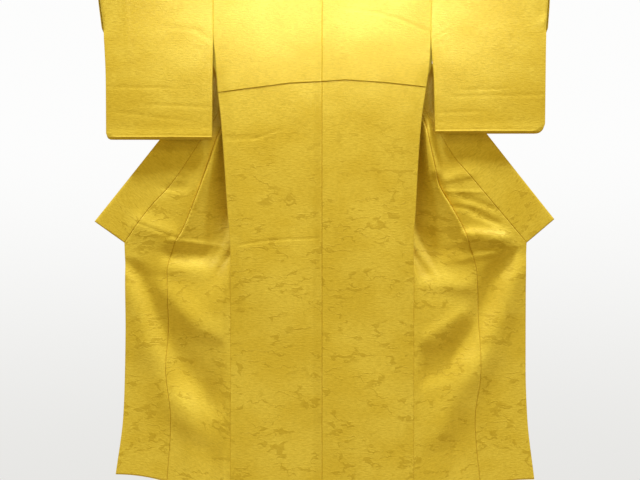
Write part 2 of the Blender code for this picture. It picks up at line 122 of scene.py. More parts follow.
# Spacing of the rows down each face
Span = namedtuple("Span", "to step")
BACK_SPANS = (Span(-0.15, 0.010), Span(-0.25, 0.005), Span(-0.365, 0.010), Span(-0.3735, 0.0028),
              Span(-0.3785, 0.0005), Span(-0.385, 0.0026), Span(-0.51, 0.008), Span(-0.57, 0.004),
              Span(-0.83, 0.010), Span(-0.88, 0.004), Span(-1.30, 0.011), Span(-1.64, 0.014),
              Span(-BODY_LENGTH, 0.0012))
FRONT_SPANS = (Span(-0.44, 0.009), Span(-0.62, 0.006), Span(-0.96, 0.0038), Span(-1.10, 0.006),
               Span(-1.30, 0.009), Span(-1.64, 0.014), Span(-BODY_LENGTH, 0.0012))
NECK_SPANS = (Span(-BACK_NECK_DROP + NECK_LAST_ROW_ABOVE, NECK_ROW_STEP),)
SLEEVE_SPANS = (Span(-0.17, 0.009), Span(-0.29, 0.004), Span(-0.38, 0.008), Span(-0.56, 0.004))

# Distance out from the centre-back seam at each height, on the left and on the right
Edge = namedtuple("Edge", "z left right")
SIDE_EDGE = (
    Edge(0.00, 0.325, 0.325),
    Edge(-ARMHOLE_DEPTH, 0.325, 0.325),
    Edge(-0.30, 0.318, 0.322),
    Edge(-0.40, 0.309, 0.308),
    Edge(-0.50, 0.301, 0.296),
    Edge(-0.60, 0.293, 0.288),
    Edge(-0.75, 0.283, 0.280),
    Edge(-0.86, 0.275, 0.274),
    Edge(-0.95, 0.273, 0.274),
    Edge(-BODY_LENGTH, 0.274, 0.274),
)
# Under the armhole the front stands a little wider than the back and shows in the slot beside it
FRONT_SIDE_EDGE = (
    Edge(0.00, 0.325, 0.325),
    Edge(-0.320, 0.3265, 0.3290),
    Edge(-0.345, 0.3200, 0.3240),
    Edge(-0.362, 0.3135, 0.3160),
    Edge(-0.40, 0.3085, 0.3075),
) + SIDE_EDGE[4:]
OKUMI_SEAM = (
    Edge(OKUMI_TOP, 0.196, 0.196),
    Edge(-0.40, 0.255, 0.270),
    Edge(-0.50, 0.302, 0.310),
    Edge(-0.60, 0.337, 0.332),
    Edge(-0.68, 0.365, 0.352),
    Edge(-0.75, 0.392, 0.391),
    Edge(-0.82, 0.421, 0.428),
    Edge(-0.86, 0.444, 0.442),
    Edge(-0.95, 0.465, 0.466),
    Edge(-1.10, 0.462, 0.472),
    Edge(-1.25, 0.470, 0.476),
    Edge(-1.42, 0.454, 0.460),
    Edge(-BODY_LENGTH, 0.466, 0.476),
)
COLLAR_SEAM = (
    Edge(0.00, 0.098, 0.098),
    Edge(-0.12, 0.143, 0.143),
    Edge(OKUMI_TOP, 0.196, 0.196),
    Edge(-0.40, 0.278, 0.280),
    Edge(-0.50, 0.336, 0.338),
    Edge(-0.60, 0.398, 0.398),
    Edge(-0.68, 0.453, 0.465),
    Edge(-0.75, 0.517, 0.524),
    Edge(COLLAR_END, 0.594, 0.614),
)
FRONT_EDGE = (
    Edge(COLLAR_END, 0.594, 0.614),
    Edge(-0.95, 0.591, 0.612),
    Edge(-1.10, 0.590, 0.612),
    Edge(-1.25, 0.592, 0.612),
    Edge(-1.42, 0.597, 0.617),
    Edge(-BODY_LENGTH, 0.620, 0.638),
)
SLEEVE_INNER = (
    Edge(0.00, 0.325, 0.325),
    Edge(-ARMHOLE_DEPTH, 0.325, 0.325),
    Edge(-0.38, 0.327, 0.334),
    Edge(-0.56, 0.328, 0.338),
)
SLEEVE_OUTER = (
    Edge(0.00, 0.682, 0.685),
    Edge(-0.13, 0.669, 0.681),
    Edge(-0.24, 0.656, 0.674),
    Edge(-0.38, 0.650, 0.672),
    Edge(-0.56, 0.649, 0.670),
)
# How proud the front swells beside its overlap panel's seam
SEAM_SWELL = (
    Edge(-0.43, 0.000, 0.000),
    Edge(-0.49, 0.002, 0.006),
    Edge(-0.55, 0.013, 0.009),
    Edge(-0.64, 0.013, 0.013),
    Edge(-0.74, 0.007, 0.011),
    Edge(-0.84, 0.002, 0.005),
    Edge(-0.92, 0.000, 0.000),
)
SEAM_SWELL_EDGE, SEAM_SWELL_WIDTH = 0.0045, 0.034
# How deep the front turns in beside the back's edge, over a share of the way to that seam
VALLEY = (
    Edge(-0.46, 0.000, 0.000),
    Edge(-0.54, 0.020, 0.019),
    Edge(-0.64, 0.028, 0.028),
    Edge(-0.74, 0.029, 0.030),
    Edge(-0.83, 0.017, 0.020),
    Edge(-0.96, 0.000, 0.000),
)
VALLEY_SHARE, VALLEY_LEAST_WIDTH, VALLEY_INNER_WIDTH = 0.60, 0.014, 0.030

# Height of the tuck that is folded across the back, from the left to the right side seam
Tuck = namedtuple("Tuck", "x z")
TUCK = (Tuck(-0.305, -0.4060), Tuck(-0.20, -0.3930), Tuck(-0.10, -0.3795), Tuck(0.00, -0.3745),
        Tuck(0.07, -0.3700), Tuck(0.18, -0.3770), Tuck(0.305, -0.3900))
TUCK_HEIGHT = -0.375
TUCK_RISE, TUCK_FADE = 0.0015, 0.05
TUCK_GROOVE, TUCK_GROOVE_WIDTH = 0.0035, 0.0011
TUCK_BEND_REACH = 0.12

# One value for each half
Half = namedtuple("Half", "left right")
HEM_RISE = Half(0.098, 0.083)
SLEEVE_BOTTOM = Half(-0.548, -0.530)
SLEEVE_CORNER = Half(0.014, 0.026)
ROW_ABOVE_CORNER = 0.002
SLEEVE_SAG, SLEEVE_SAG_FROM = 0.006, 0.05
SLEEVE_LIP, SLEEVE_LIP_WIDTH = 0.0016, 0.0045
SLEEVE_BELLY = 0.0025
SEAM_ENDS_OVER = 0.004
FAR_LAYER_SHARE = 0.7
SLEEVE_OVER_ROD, TURNED_IN_OVER_ROD = 0.001, 0.6
CUFF_STEP, CUFF_ROLL = 0.0065, 0.0045
CUFF_CLOSES_OVER, CUFF_SETTLES_OVER = 0.03, 0.012
# Below the sleeves the opened collar comes forward
WING_FORWARD = Half(0.003, 0.009)
WING_FORWARD_FROM, WING_FORWARD_BY = -0.36, -0.54
WING_STARTS, WING_IS_FULL = 0.34, 0.44
TURN_KEPT_PLAIN, TURN_KEPT_PLAIN_FADE = 0.02, 0.04

# Folds and creases from (x0, z0) to (x1, z1), deep away from the viewer, proud when negative. Over is
# the width on the line's upper side, or outer side where it runs down, and fade is past its ends.
# Each row: x0, z0, x1, z1, over, under, depth, fade
CREASES = {
    ("front", "left"): (
        # The hollow at the end of the valley beside the back's edge
        (0.335, -0.874, 0.4, -0.89, 0.08, 0.11, 0.009, 0.045),
        # The deep slot between the back and the sleeve
        (0.322, -0.36, 0.322, -0.47, 0.034, 0.032, 0.027, 0.04),
        # Behind the sleeve the opened collar lies closer to it
        (0.38, -0.43, 0.46, -0.47, 0.06, 0.05, -0.005, 0.03),
        # Swags and breaks under the pulled-out collar
        (0.551, -0.798, 0.445, -0.838, 0.03, 0.045, -0.0062, 0.02),
        (0.551, -0.796, 0.439, -0.84, 0.0025, 0.006, 0.0014, 0.012),
        (0.47, -0.694, 0.42, -0.69, 0.02, 0.016, 0.0026, 0.02),
        (0.439, -0.848, 0.296, -0.866, 0.005, 0.008, -0.0022, 0.015),
        (0.45, -0.893, 0.35, -0.9, 0.022, 0.034, 0.01, 0.03),
        (0.445, -0.925, 0.35, -0.93, 0.03, 0.03, -0.005, 0.04),
        (0.42, -1.27, 0.28, -1.27, 0.11, 0.08, 0.007, 0.05),
        (0.483, -0.7, 0.425, -0.712, 0.004, 0.005, -0.001, 0.01),
        # Soft folds that hang to the hem
        (0.4, -1.38, 0.39, -1.65, 0.03, 0.03, -0.008, 0.08),
        (0.33, -1.38, 0.325, -1.65, 0.026, 0.026, 0.008, 0.08),
    ),
    ("front", "right"): (
        # The hollow at the end of the valley beside the back's edge
        (0.3, -0.885, 0.43, -0.872, 0.085, 0.12, 0.009, 0.045),
        # The deep slot between the back and the sleeve
        (0.328, -0.36, 0.328, -0.45, 0.03, 0.03, 0.024, 0.04),
        # Behind the sleeve the opened collar lies closer to it
        (0.385, -0.43, 0.46, -0.46, 0.06, 0.05, -0.003, 0.03),
        # The proud ridge between the back and the right sleeve
        (0.315, -0.49, 0.337, -0.64, 0.015, 0.016, -0.018, 0.02),
        # Swags and breaks under the pulled-out collar
        (0.375, -0.668, 0.44, -0.655, 0.022, 0.009, -0.003, 0.02),
        (0.376, -0.702, 0.48, -0.704, 0.004, 0.006, -0.0014, 0.015),
        (0.43, -0.722, 0.5, -0.748, 0.013, 0.011, 0.0028, 0.02),
        (0.4, -0.749, 0.457, -0.758, 0.008, 0.007, 0.0018, 0.015),
        (0.455, -0.767, 0.522, -0.797, 0.012, 0.009, 0.0034, 0.015),
        (0.44, -0.832, 0.54, -0.842, 0.018, 0.036, -0.0125, 0.02),
        (0.39, -0.876, 0.54, -0.872, 0.012, 0.012, 0.0026, 0.02),
        (0.52, -0.884, 0.41, -0.909, 0.009, 0.011, -0.0024, 0.015),
        (0.33, -0.982, 0.43, -0.988, 0.028, 0.022, -0.005, 0.025),
        (0.42, -1.075, 0.32, -1.14, 0.022, 0.034, -0.005, 0.03),
        (0.38, -1.27, 0.28, -1.27, 0.1, 0.08, 0.006, 0.05),
        # Soft folds that hang to the hem
        (0.405, -1.42, 0.4, -1.65, 0.028, 0.028, 0.008, 0.08),
    ),
    ("back", "left"): (
        (0.275, -0.55, 0.199, -0.546, 0.004, 0.003, 0.0009, 0.01),
        (0.199, -0.546, 0.13, -0.522, 0.004, 0.003, 0.0008, 0.01),
        (0.285, -0.541, 0.205, -0.538, 0.004, 0.004, 0.0007, 0.01),
        (0.245, -0.863, 0.146, -0.848, 0.004, 0.003, 0.001, 0.01),
        (0.146, -0.848, 0.018, -0.843, 0.003, 0.003, 0.0009, 0.01),
        (0.018, -0.4, 0.016, -1.0, 0.007, 0.008, 0.0012, 0.08),
        (0.024, -1.0, 0.02, -1.4, 0.009, 0.01, 0.001, 0.1),
        (0.15, -0.3, 0.14, -0.8, 0.03, 0.03, 0.0011, 0.1),
    ),
    ("back", "right"): (
        (0.066, -0.158, 0.16, -0.171, 0.004, 0.003, 0.0007, 0.012),
        (0.16, -0.171, 0.233, -0.191, 0.004, 0.003, 0.0011, 0.01),
        (0.233, -0.191, 0.325, -0.23, 0.004, 0.003, 0.0011, 0.01),
        (0.052, -0.56, 0.044, -0.84, 0.006, 0.007, 0.0009, 0.06),
        (0.2, -1.3, 0.274, -1.32, 0.006, 0.005, 0.0006, 0.03),
        (0.16, -0.35, 0.18, -0.9, 0.034, 0.034, 0.0012, 0.1),
    ),
    ("sleeve", "left"): (
        (0.592, -0.06, 0.574, -0.3, 0.006, 0.007, -0.0012, 0.03),
        (0.463, -0.216, 0.379, -0.224, 0.01, 0.006, 0.0006, 0.015),
        (0.379, -0.224, 0.33, -0.254, 0.01, 0.006, 0.0006, 0.01),
        (0.627, -0.394, 0.469, -0.396, 0.005, 0.003, 0.0007, 0.02),
        (0.5, -0.446, 0.36, -0.452, 0.005, 0.004, 0.0007, 0.03),
        (0.6, -0.47, 0.42, -0.492, 0.006, 0.004, 0.0006, 0.03),
        (0.645, -0.538, 0.33, -0.532, 0.014, 0.012, -0.0017, 0.02),
    ),
    ("sleeve", "right"): (
        (0.33, -0.249, 0.378, -0.223, 0.004, 0.003, 0.001, 0.006),
        (0.338, -0.267, 0.386, -0.235, 0.004, 0.003, 0.001, 0.006),
        (0.352, -0.3, 0.4, -0.262, 0.004, 0.004, 0.0006, 0.008),
        (0.427, -0.402, 0.531, -0.398, 0.005, 0.003, 0.0008, 0.02),
        (0.395, -0.421, 0.65, -0.416, 0.005, 0.004, 0.0007, 0.02),
        (0.352, -0.47, 0.46, -0.466, 0.005, 0.004, 0.0007, 0.02),
        (0.655, -0.205, 0.672, -0.18, 0.006, 0.008, -0.0019, 0.008),
        (0.668, -0.08, 0.66, -0.17, 0.014, 0.014, 0.0017, 0.02),
        (0.662, -0.519, 0.338, -0.516, 0.014, 0.012, -0.0017, 0.02),
    ),
}

# The opened collar's straight outer edge, from behind the sleeve to the tip
Place = namedtuple("Place", "x z")
COLLAR_OUTER = Half((Place(0.497, -0.558), Place(0.682, -0.790)),
                    (Place(0.498, -0.534), Place(0.703, -0.793)))
STRAIGHT_FROM, STRAIGHT_BY = -0.40, -0.52

# Long soft folds that run down and inwards: the line's distance out at each height, with its depth,
# and its widths on its outer and its inner side
Bend = namedtuple("Bend", "z x depth outer inner")
FOLDS = {
    "left": (
        (Bend(-0.9, 0.585, 0.0, 0.02, 0.026), Bend(-0.945, 0.557, 0.0091, 0.024, 0.03),
         Bend(-0.997, 0.528, 0.0107, 0.03, 0.04), Bend(-1.087, 0.49, 0.0107, 0.036, 0.05),
         Bend(-1.176, 0.448, 0.0099, 0.042, 0.05), Bend(-1.266, 0.394, 0.0083, 0.045, 0.05),
         Bend(-1.34, 0.335, 0.0066, 0.05, 0.05), Bend(-1.4, 0.285, 0.0, 0.05, 0.05)),
        (Bend(-0.905, 0.61, 0.0, 0.03, 0.026), Bend(-0.96, 0.59, -0.0074, 0.034, 0.028),
         Bend(-1.087, 0.54, -0.0099, 0.042, 0.036), Bend(-1.176, 0.519, -0.0107, 0.048, 0.04),
         Bend(-1.266, 0.484, -0.008, 0.05, 0.042), Bend(-1.337, 0.454, -0.008, 0.054, 0.046),
         Bend(-1.41, 0.409, -0.0074, 0.056, 0.05), Bend(-1.5, 0.345, 0.0, 0.056, 0.05)),
        (Bend(-0.955, 0.5, 0.0, 0.032, 0.04), Bend(-1.015, 0.462, -0.0088, 0.034, 0.044),
         Bend(-1.07, 0.41, -0.01, 0.038, 0.046), Bend(-1.12, 0.36, -0.0084, 0.038, 0.046),
         Bend(-1.17, 0.31, 0.0, 0.038, 0.046)),
    ),
    "right": (
        (Bend(-0.865, 0.58, 0.0, 0.018, 0.02), Bend(-0.905, 0.553, 0.011, 0.02, 0.026),
         Bend(-0.96, 0.52, 0.0132, 0.03, 0.034), Bend(-1.045, 0.49, 0.0132, 0.036, 0.042),
         Bend(-1.1, 0.464, 0.0132, 0.04, 0.048), Bend(-1.164, 0.421, 0.0132, 0.042, 0.05),
         Bend(-1.224, 0.358, 0.011, 0.046, 0.05), Bend(-1.3, 0.295, 0.0, 0.046, 0.05)),
        (Bend(-0.89, 0.62, 0.0, 0.03, 0.024), Bend(-0.973, 0.573, -0.011, 0.034, 0.03),
         Bend(-1.045, 0.549, -0.0136, 0.04, 0.036), Bend(-1.116, 0.519, -0.0145, 0.044, 0.04),
         Bend(-1.188, 0.493, -0.0145, 0.048, 0.042), Bend(-1.26, 0.457, -0.0145, 0.05, 0.046),
         Bend(-1.331, 0.421, -0.0106, 0.054, 0.05), Bend(-1.415, 0.388, -0.0072, 0.056, 0.05),
         Bend(-1.5, 0.35, 0.0, 0.056, 0.05)),
    ),
}

LEAN_STEP = 0.01

# Slow unevenness of hung cloth: waves across and down, with the phase and height of each
Wave = namedtuple("Wave", "across down phase height")
SKEW_ACROSS, SKEW_DOWN = 0.7, 0.3
SLEEVE_WAVES_CLOSER = 1.3
WAVES = (Wave(11.0, 3.1, 0.4, 0.0009), Wave(23.0, 5.3, 1.9, 0.0006), Wave(7.0, 13.0, 3.1, 0.0007),
         Wave(37.0, 17.0, 5.0, 0.00025))


def smooth(share):
    """0 to 1 with level ends."""
    share = np.clip(share, 0.0, 1.0)
    return share * share * (3 - 2 * share)


def mix(a, b, share):
    return a + (b - a) * share


def sign_of(half):
    return -1.0 if half == "left" else 1.0


def even(count):
    return np.linspace(0.0, 1.0, count + 1)


def down_to(start, spans):
    """Heights from a start down through spans, each with its own spacing."""
    heights = [start]
    for span in spans:
        if span.to < heights[-1]:
            count = max(round((heights[-1] - span.to) / span.step), 1)
            heights += list(np.linspace(heights[-1], span.to, count + 1)[1:])
    return heights


def at_height(table, z, half):
    """A table's column at a height, on a cubic through its rows that never overshoots them."""
    rows = [(-row.z, getattr(row, half)) for row in table]
    depth = min(max(-z, rows[0][0]), rows[-1][0])
    index = next(i for i in range(len(rows) - 1) if depth <= rows[i + 1][0])
    slopes = [(b[1] - a[1]) / (b[0] - a[0]) for a, b in zip(rows, rows[1:])]
    inner = [2 * a * b / (a + b) if a * b > 0 else 0.0 for a, b in zip(slopes, slopes[1:])]
    tangents = [slopes[0]] + inner + [slopes[-1]]
    (d0, v0), (d1, v1) = rows[index], rows[index + 1]
    span = d1 - d0
    s = (depth - d0) / span
    return (v0 * (2 * s**3 - 3 * s**2 + 1) + tangents[index] * span * (s**3 - 2 * s**2 + s)
            + v1 * (3 * s**2 - 2 * s**3) + tangents[index + 1] * span * (s**3 - s**2))


def crease_depth(on, half, x, z):
    """Depth of all the folds and creases on one face at places out from the centre and down."""
    total = np.zeros(np.broadcast(x, z).shape)
    for x0, z0, x1, z1, over, under, depth, fade in CREASES[on, half]:
        length = math.hypot(x1 - x0, z1 - z0)
        along_x, along_z = (x1 - x0) / length, (z1 - z0) / length
        up = 1.0 if (along_x > 0 if abs(along_x) >= abs(along_z) else along_z < 0) else -1.0
        across_x, across_z = -along_z * up, along_x * up
        along = (x - x0) * along_x + (z - z0) * along_z
        across = (x - x0) * across_x + (z - z0) * across_z
        past_end = np.maximum(np.maximum(-along, along - length), 0.0)
        width = np.where(across > 0, over, under)
        total = total + depth * np.exp(-(across / width) ** 2 - (past_end / fade) ** 2)
    return total


def fold_depth(half, x, z):
    """Depth of the long soft folds of one front at places out from the centre, at one height."""
    total = 0.0
    for bends in FOLDS[half]:
        if not bends[-1].z < z < bends[0].z:
            continue
        line = at_height(bends, z, "x")
        lean = (line - at_height(bends, z - LEAN_STEP, "x")) / LEAN_STEP
        across = (x - line) / math.hypot(1.0, lean)
        width = np.where(across > 0, at_height(bends, z, "outer"), at_height(bends, z, "inner"))
        total = total + at_height(bends, z, "depth") * np.exp(-(across / width) ** 2)
    return total


def unevenness(x, z):
    return sum(wave.height * np.sin(wave.across * x + wave.down * z + wave.phase)
               * np.cos(wave.down * x * SKEW_ACROSS - wave.across * z * SKEW_DOWN + wave.phase)
               for wave in WAVES)


def dip(distance, width, depth):
    """How far cloth turns in at a seam or a rolled edge, at a distance from it."""
    return depth * np.exp(-(distance / width) ** 2)


# Where the layers lie


def layer_offset(z):
    return mix(LAYER_OFFSET, FOLD_RADIUS, smooth((z - LAYERS_CLOSE_BY) / -LAYERS_CLOSE_BY))


def side_seam_share(z):
    end = -(ARMHOLE_DEPTH + UNDERARM_OPENING)
    return smooth((end + SIDE_SEAM_FADE - z) / SIDE_SEAM_FADE)


def pinched_offset(x, z, half):
    open_offset = layer_offset(z)
    from_edge = smooth((at_height(SIDE_EDGE, z, half) - x) / SIDE_SEAM_PINCH)
    return mix(open_offset, mix(SIDE_GAP / 2, open_offset, from_edge), side_seam_share(z))


def fold_turn(z):
    return mix(FOLD_TURN_AT_NECK, FOLD_TURN, smooth(z / FOLD_TURN_FULL_BY))


def fold_line(z):
    return NECK_HALF_WIDTH + FRONT_FOLD_LEAN * max(-z, 0.0)


def opened_share(z):
    return smooth((z - FOLD_IS_OPEN) / (FOLD_STARTS_TO_OPEN - FOLD_IS_OPEN))


def seam_swell(x, z, half):
    """The front's proud roll beside its overlap panel's seam."""
    inside = at_height(OKUMI_SEAM, z, half) - x
    return (at_height(SEAM_SWELL, z, half) * smooth(inside / SEAM_SWELL_EDGE)
            * np.exp(-(inside / SEAM_SWELL_WIDTH) ** 2))


def valley_depth(x, z, half):
    """How deep the front turns in beside the back's edge on its way to the overlap panel's seam."""
    out = x - at_height(SIDE_EDGE, z, half)
    reach = VALLEY_SHARE * (at_height(OKUMI_SEAM, z, half) - at_height(SIDE_EDGE, z, half))
    width = np.where(out > 0, max(reach, VALLEY_LEAST_WIDTH), VALLEY_INNER_WIDTH)
    return at_height(VALLEY, z, half) * np.exp(-(out / width) ** 2)


def front_relief(x, z, half):
    relief = crease_depth("front", half, x, z) + fold_depth(half, x, z) + unevenness(x, z)
    return relief + valley_depth(x, z, half) - seam_swell(x, z, half)


def behind_garment(x, z, half):
    near = layer_offset(z) + 2 * fold_turn(z)
    toward_tip = smooth((x - TIP_SETBACK_FROM) / (TIP_SETBACK_TO - TIP_SETBACK_FROM))
    forward = getattr(WING_FORWARD, half) * smooth((x - WING_STARTS) / (WING_IS_FULL - WING_STARTS))
    forward = forward * smooth((WING_FORWARD_FROM - z) / (WING_FORWARD_FROM - WING_FORWARD_BY))
    clear_of_turn = smooth((x - fold_line(z) - TURN_KEPT_PLAIN) / TURN_KEPT_PLAIN_FADE)
    return near - forward + TIP_SETBACK * toward_tip + front_relief(x, z, half) * clear_of_turn


def beside_garment(x, z, half):
    out = x - at_height(SIDE_EDGE, z, half)
    grown = smooth((out - SEAM_WITHOUT_FOLDS) / FOLDS_GROW_OVER)
    setback = FRONT_SETBACK * smooth(out / FRONT_SETBACK_WIDTH)
    return SIDE_GAP / 2 + setback + front_relief(x, z, half) * grown


def opened_y(x, z, half):
    opened = opened_share(z)
    if opened == 0.0:
        return beside_garment(x, z, half)
    if opened == 1.0:
        return behind_garment(x, z, half)
    return mix(beside_garment(x, z, half), behind_garment(x, z, half), opened)


def hem_lift(x, z, half):
    side, edge = at_height(SIDE_EDGE, z, half), at_height(FRONT_EDGE, z, half)
    out = np.clip((x - side) / (edge - side), 0.0, 1.0)
    down = max((FOLD_IS_OPEN - z) / (BODY_LENGTH + FOLD_IS_OPEN), 0.0)
    return getattr(HEM_RISE, half) * np.sin(out * math.pi / 2) * down**HEM_RISE_POWER


def points(half, x, y, z):
    """A row of points from distances out from the centre-back seam."""
    x, y, z = np.broadcast_arrays(sign_of(half) * x, y, z)
    return np.stack((x, y, z), axis=-1).astype(float)


# The body: one length of cloth on each side, up the back, over the rod and down the front


def seam_shares(count, length, near_start=False, near_end=True):
    """Shares of a length, even but for close steps beside a seam at either end."""
    close = np.array(STEPS_BESIDE_SEAM) / max(length, 1e-6)
    if close[-1] > SEAM_STEPS_SHARE:
        return even(count)
    start = close if near_start else np.zeros(1)
    end = 1 - close[::-1] if near_end else np.ones(1)
    middle = np.linspace(start[-1], end[0], count + 3 - len(start) - len(end))[1:-1]
    return np.concatenate((start, middle, end))


def neck_edge(run_from_top):
    neck_run = QUARTER_TURN + BACK_NECK_DROP
    share = min(run_from_top / neck_run, 1.0)
    return max(NECK_HALF_WIDTH * math.sqrt(1 - share**2), SEAM_GAP)


def flat_section(side, inner, gathered):
    gathered_from = inner + GATHERED_WIDTH
    wide = mix(side, gathered_from, even(LAYER_STEPS))
    close = mix(gathered_from, inner, even(TURN_STEPS + OPENED_STEPS)[1:])
    evenly = mix(side, inner, seam_shares(BODY_STEPS, side - inner, near_start=True))
    return mix(evenly, np.concatenate((wide, close)), gathered)


def tuck_bend(x, z, half):
    """How far a row of the back is bent up or down to run along the tuck."""
    signed = sign_of(half) * x
    line = np.interp(signed, [tuck.x for tuck in TUCK], [tuck.z for tuck in TUCK]) - TUCK_HEIGHT
    return line * smooth(1 - abs(z - TUCK_HEIGHT) / TUCK_BEND_REACH)


def tuck_rise(z):
    """The cloth above the tuck lies over the cloth below it, which turns in under it."""
    above = z - TUCK_HEIGHT
    if above >= -1e-6:
        return TUCK_RISE * math.exp(-(above / TUCK_FADE) ** 2)
    return -dip(above + TUCK_GROOVE_WIDTH, TUCK_GROOVE_WIDTH, TUCK_GROOVE)


def back_row(z, half):
    inner = neck_edge(QUARTER_TURN - z)
    side = at_height(SIDE_EDGE, z, half)
    x = flat_section(side, inner, 1 - smooth(z / GATHERED_UNTIL))
    y = -pinched_offset(x, z, half) - tuck_rise(z)
    bent_z = z + tuck_bend(x, z, half)
    settled = smooth(z / HANGS_FREELY_BY)
    y = y + (crease_depth("back", half, x, bent_z) + unevenness(sign_of(half) * x, z)) * settled
    if z < -BACK_NECK_DROP:
        y = y + dip(x - inner, SEAM_DIP_WIDTH, SEAM_DIP)
    y = y + dip(side - x, SEAM_DIP_WIDTH, SEAM_DIP)
    y = y + dip(z + BODY_LENGTH, EDGE_ROLL_WIDTH, EDGE_ROLL)
    return points(half, x, y, bent_z)


def front_inner_edge(z, half):
    table = COLLAR_SEAM if z >= OKUMI_TOP else OKUMI_SEAM
    return at_height(table, z, half) - SEAM_GAP


def folded_section(z, half):
    """(x, y) of a front folded back behind the garment: in along the layer, round the turn and out."""
    side, turn_x, radius = at_height(FRONT_SIDE_EDGE, z, half), fold_line(z), fold_turn(z)
    side -= SIDE_SEAM_SETBACK * side_seam_share(z)
    layer_x = mix(side, turn_x + radius, even(LAYER_STEPS))
    angle = even(TURN_STEPS)[1:] * math.pi
    turn = turn_x + radius * (1 - np.sin(angle)), layer_offset(z) + radius * (1 - np.cos(angle))
    inner = front_inner_edge(z, half)
    opened_x = mix(turn_x + radius, inner, seam_shares(OPENED_STEPS, inner - turn_x - radius)[1:])
    seam = dip(inner - opened_x, SEAM_DIP_WIDTH, SEAM_DIP)
    x = np.concatenate((layer_x, turn[0], opened_x))
    y = np.concatenate((pinched_offset(layer_x, z, half), turn[1],
                        behind_garment(opened_x, z, half) + seam))
    return x, y


def plain_section(z, half):
    """(x, y) of a front that hangs beside the back."""
    side, inner = at_height(SIDE_EDGE, z, half) - SIDE_SEAM_SETBACK, front_inner_edge(z, half)
    x = mix(side, inner, seam_shares(BODY_STEPS, inner - side, near_start=True))
    y = beside_garment(x, z, half) + dip(inner - x, SEAM_DIP_WIDTH, SEAM_DIP)
    return x, y + dip(x - side, SEAM_DIP_WIDTH, SEAM_DIP)


def formed_share(run):
    return float(smooth(run / (QUARTER_TURN - FOLD_FORMED_BY)))


def folding_section(z, half, run):
    """(x, rise off the layer) near the shoulder, where the fold grows from nothing at the top."""
    formed = formed_share(run)
    flat = flat_section(SHOULDER_WIDTH, NECK_HALF_WIDTH, 1.0)
    folded_x, folded_y = folded_section(z, half)
    return mix(flat, folded_x, formed), (folded_y - layer_offset(z)) * formed


def rod_row(angle, half):
    from_top = abs(angle - math.pi / 2) * FOLD_RADIUS
    if angle > math.pi / 2:
        x, rise = flat_section(SHOULDER_WIDTH, neck_edge(from_top), 1.0), 0.0
    else:
        x, rise = folding_section(0.0, half, from_top)
    return points(half, x, math.cos(angle) * (FOLD_RADIUS + rise), math.sin(angle) * (FOLD_RADIUS + rise))


def front_row(z, half):
    if z > FOLD_FORMED_BY:
        x, rise = folding_section(z, half, QUARTER_TURN - z)
        return points(half, x, layer_offset(z) + rise, z)
    opened = opened_share(z)
    (folded_x, folded_y), (plain_x, plain_y) = folded_section(z, half), plain_section(z, half)
    x, y = mix(plain_x, folded_x, opened), mix(plain_y, folded_y, opened)
    y = y + dip(z + BODY_LENGTH, EDGE_ROLL_WIDTH, EDGE_ROLL)
    return points(half, x, y, z + hem_lift(x, z, half))


BACK_HEIGHTS = down_to(FIRST_ROW, BACK_SPANS)
FRONT_HEIGHTS = down_to(FIRST_ROW, FRONT_SPANS)


def body_rows(half):
    rows = [back_row(z, half) for z in reversed(BACK_HEIGHTS)]
    rows += [rod_row(math.pi * (1 - share), half) for share in even(ROD_ARC_STEPS)]
    rows += [front_row(z, half) for z in FRONT_HEIGHTS]
    return rows


def okumi_rows(half):
    """The overlap panel, sewn to the front's inner edge from a point below the shoulder to the hem."""
    rows = []
    for z in FRONT_HEIGHTS:
        if z > OKUMI_START:
            continue
        inner = at_height(OKUMI_SEAM, z, half) + SEAM_GAP
        sewn = z >= COLLAR_END
        outer = at_height(COLLAR_SEAM if sewn else FRONT_EDGE, z, half) - SEAM_GAP
        x = mix(inner, outer, seam_shares(OKUMI_STEPS, outer - inner, near_start=True))
        y = opened_y(x, z, half) + dip(x - inner, SEAM_DIP_WIDTH, SEAM_DIP)
        if sewn:
            y = y + dip(outer - x, SEAM_DIP_WIDTH, SEAM_DIP)
        else:
            y = y + dip(outer - x, EDGE_ROLL_WIDTH, EDGE_ROLL)
        y = y + dip(z + BODY_LENGTH, EDGE_ROLL_WIDTH, EDGE_ROLL)
        rows.append(points(half, x, y, z + hem_lift(x, z, half)))
    return rows


# The collar: a strip round the neck and down both fronts

Station = namedtuple("Station", "x y z lean width lies_flat")


def neck_station(row, run, normal_angle, half):
    """A station beside a body row's inner end: before it on the back, past it as the fold forms."""
    turn = math.pi * formed_share(run)
    aside, off = -math.cos(turn) * NECK_CLEARANCE, math.sin(turn) * NECK_ROLL_CLEARANCE
    if run < 0:
        lean = mix(COLLAR_LEAN_AT_TOP, math.pi / 2, smooth(-run / (QUARTER_TURN + BACK_NECK_DROP)))
    else:
        lean = mix(COLLAR_LEAN_AT_TOP, collar_slope(FOLD_FORMED_BY, half),
                   smooth(run / COLLAR_TURNS_OVER))
    end_x, end_y, end_z = row[-1]
    return Station(abs(end_x) + aside, end_y + math.cos(normal_angle) * off,
                   end_z + math.sin(normal_angle) * off, lean, COLLAR_WIDTH_AT_NECK, 0.0)


def collar_slope(z, half):
    upper, lower = min(z + SEAM_SLOPE_SPAN, 0.0), max(z - SEAM_SLOPE_SPAN, COLLAR_END)
    out = at_height(COLLAR_SEAM, lower, half) - at_height(COLLAR_SEAM, upper, half)
    return math.atan2(out, upper - lower)


